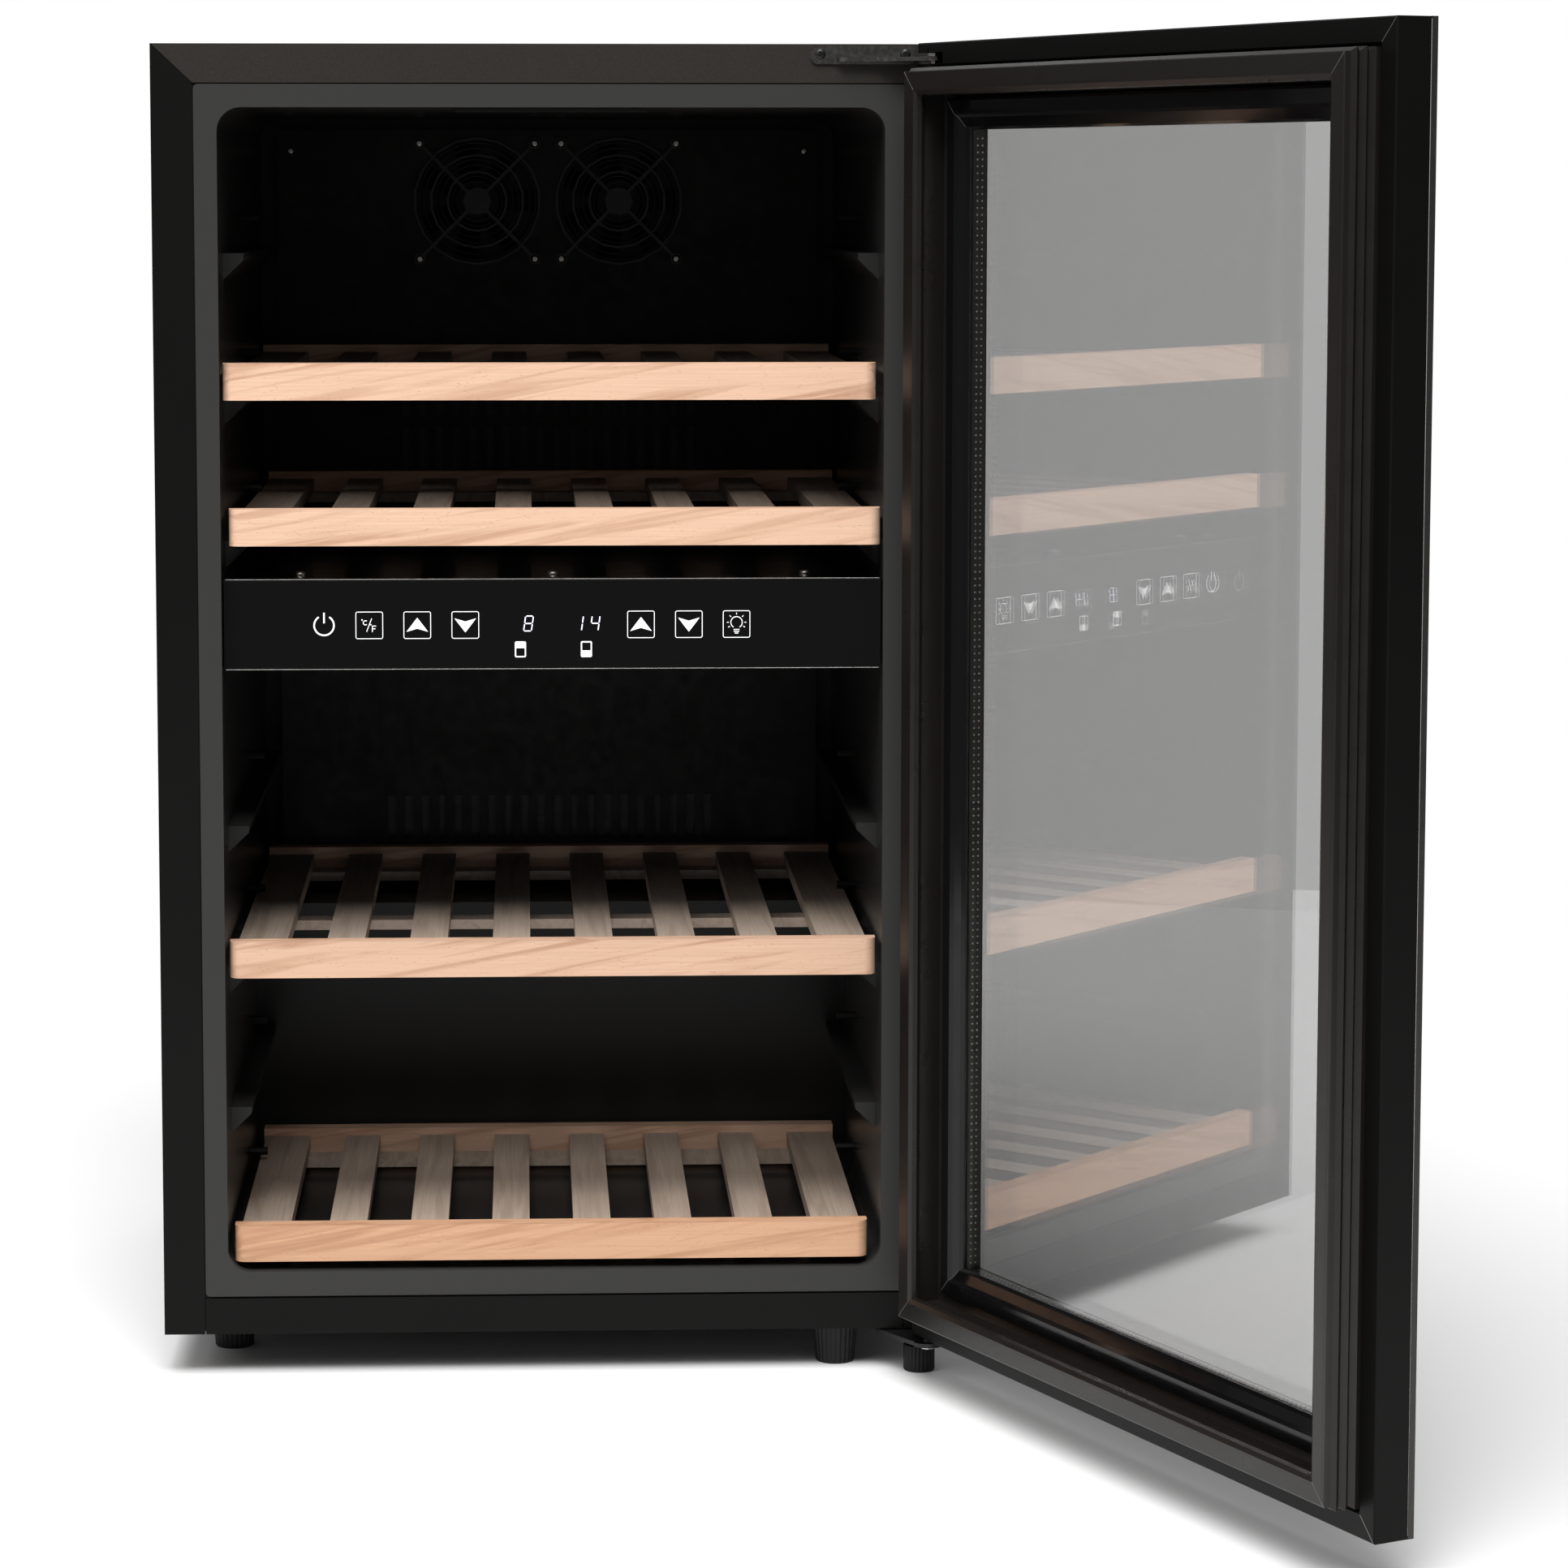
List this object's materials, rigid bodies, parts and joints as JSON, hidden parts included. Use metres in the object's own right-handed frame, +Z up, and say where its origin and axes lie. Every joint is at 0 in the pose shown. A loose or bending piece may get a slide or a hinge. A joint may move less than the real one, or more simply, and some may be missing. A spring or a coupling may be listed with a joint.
{
  "type": "wine cooler",
  "caption": "Free-standing two-zone wine cooler with a right-hinged glass door, sliding beech shelves and a touch control bar between the zones.",
  "frame": {"origin": "middle of the flat underside of the base pan", "axes": "+Z up, the front with the door opening faces -Y, +X to the right when facing the front"},
  "size_m": [0.7056, 0.9739, 0.8395],
  "materials": {
    "black_paint": "semi-gloss black powder paint with fine orange peel",
    "grey_liner": "satin dark grey ABS",
    "gloss_black": "high-gloss black",
    "matt_black": "fine-textured matt black",
    "gasket_rubber": "soft satin black PVC",
    "zinc_steel": "bright zinc-plated steel",
    "black_steel": "black enamelled steel",
    "beech": "planed and sanded beech, unvarnished",
    "foam": "rigid polyurethane foam",
    "smoked_glass": "smoked tempered glass",
    "clear_glass": "clear low-emissivity glass",
    "spacer": "black anodised spacer bar",
    "lamp": "smoked translucent diffuser over white LEDs, unlit",
    "circuit_board": "green solder mask",
    "cold_plate": "aluminium with a black epoxy coat"
  },
  "bodies": {
    "cabinet": {"side_panel_left": "black_paint", "side_panel_right": "black_paint", "top_panel": "black_paint", "front_bottom_rail": "black_paint", "rear_panel": "black_paint", "base_pan": "black_steel", "inner_liner": "grey_liner", "foam_insulation": "foam", "back_cover_upper": "matt_black", "back_cover_lower": "matt_black", "evaporator_upper": "cold_plate", "evaporator_lower": "cold_plate", "fan_frame_left": "matt_black", "fan_frame_right": "matt_black", "fan_guard_left": "black_steel", "fan_guard_right": "black_steel", "divider_housing": "matt_black", "divider_cover": "gloss_black", "control_panel": "gloss_black", "control_board": "circuit_board", "lamp_upper": "lamp", "lamp_lower": "lamp", "guide_pins_left": "matt_black", "guide_pins_right": "matt_black", "top_hinge_bracket": "zinc_steel", "bottom_hinge_bracket": "zinc_steel", "top_hinge_pin": "zinc_steel", "bottom_hinge_pin": "zinc_steel", "foot_front_left": "matt_black", "foot_front_right": "matt_black", "foot_rear_left": "matt_black", "foot_rear_right": "matt_black", "foot_hinge": "matt_black", "compressor": "black_steel", "terminal_box": "matt_black", "drip_tray": "matt_black", "condenser": "black_steel", "power_inlet": "matt_black"},
    "door": {"door_frame": "black_paint", "door_front_glass": "smoked_glass", "door_inner_glass": "clear_glass", "door_glazing_spacer": "spacer", "door_inner_frame": "gloss_black", "door_gasket": "gasket_rubber", "door_bush_top": "matt_black", "door_bush_bottom": "matt_black"},
    "fan_left": {"fan_rotor_left": "matt_black"},
    "fan_right": {"fan_rotor_right": "matt_black"},
    "shelf_1": {"shelf_1_front_rail": "beech", "shelf_1_slats": "beech", "shelf_1_rear_rail": "beech"},
    "shelf_2": {"shelf_2_front_rail": "beech", "shelf_2_slats": "beech", "shelf_2_rear_rail": "beech"},
    "shelf_3": {"shelf_3_front_rail": "beech", "shelf_3_slats": "beech", "shelf_3_rear_rail": "beech"},
    "shelf_4": {"shelf_4_front_rail": "beech", "shelf_4_slats": "beech", "shelf_4_rear_rail": "beech"}
  },
  "joints": [
    {"name": "door_hinge", "type": "hinge", "parent": "cabinet", "child": "door", "pos_m": [0.235, -0.2728, 0.4], "axis": [0, 0, 1], "range_deg": [-115, 15]},
    {"name": "shelf_1_slide", "type": "slide", "parent": "cabinet", "child": "shelf_1", "axis": [0, -1, 0], "range_m": [0, 0.18]},
    {"name": "shelf_2_slide", "type": "slide", "parent": "cabinet", "child": "shelf_2", "axis": [0, -1, 0], "range_m": [0, 0.18]},
    {"name": "shelf_3_slide", "type": "slide", "parent": "cabinet", "child": "shelf_3", "axis": [0, -1, 0], "range_m": [0, 0.18]},
    {"name": "shelf_4_slide", "type": "slide", "parent": "cabinet", "child": "shelf_4", "axis": [0, -1, 0], "range_m": [0, 0.07]},
    {"name": "fan_left_spin", "type": "hinge", "parent": "cabinet", "child": "fan_left", "pos_m": [-0.051, 0.2129, 0.714], "axis": [0, 1, 0], "continuous": true},
    {"name": "fan_right_spin", "type": "hinge", "parent": "cabinet", "child": "fan_right", "pos_m": [0.051, 0.2129, 0.714], "axis": [0, 1, 0], "continuous": true}
  ]
}
